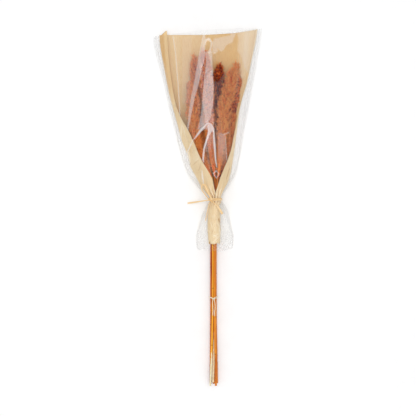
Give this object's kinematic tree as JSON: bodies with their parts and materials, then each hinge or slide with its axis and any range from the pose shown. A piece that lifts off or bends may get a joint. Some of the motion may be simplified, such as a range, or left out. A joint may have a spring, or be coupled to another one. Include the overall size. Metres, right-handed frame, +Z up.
{
  "type": "bundle of dyed pampas grass",
  "caption": "Lying bunch of rust-dyed pampas grass in a kraft paper cone and a clear film sleeve, gathered at the neck with a raffia bow, its bare stems tied with string.",
  "frame": {"origin": "middle of the bottom of the bounding box, on the table that the bundle lies on", "axes": "+Y from the cut stem ends to the mouth of the wrap, +X to the right of a person looking down on the bundle with the plumes away from them, +Z up from the table"},
  "size_m": [0.217, 0.7136, 0.0474],
  "materials": {
    "stem": "dyed and varnished reed, glossy, amber to dark brown-red",
    "plume": "dry feathery grass hair, dyed rust orange, matt with a soft sheen",
    "kraft_paper": "unbleached kraft paper, matt, creased",
    "clear_film": "clear cellophane, very glossy, creased",
    "raffia": "natural raffia strip, golden, fine lengthwise grain",
    "string": "twisted cream cotton string"
  },
  "bodies": {
    "root": {"stem_1": "stem", "stem_2": "stem", "stem_3": "stem", "stem_4": "stem", "stem_5": "stem", "stem_6": "stem", "plume_1": "plume", "plume_2": "plume", "plume_3": "plume", "plume_4": "plume", "plume_5": "plume", "plume_6": "plume", "kraft_paper_wrap": "kraft_paper", "clear_film_sleeve": "clear_film", "raffia_turn_1": "raffia", "raffia_turn_2": "raffia", "raffia_knot": "raffia", "raffia_loop": "raffia", "raffia_tail_left": "raffia", "raffia_tail_right": "raffia", "raffia_tail_down": "raffia", "string_tie": "string", "string_knot": "string", "string_tail_1": "string", "string_tail_2": "string"}
  },
  "joints": []
}
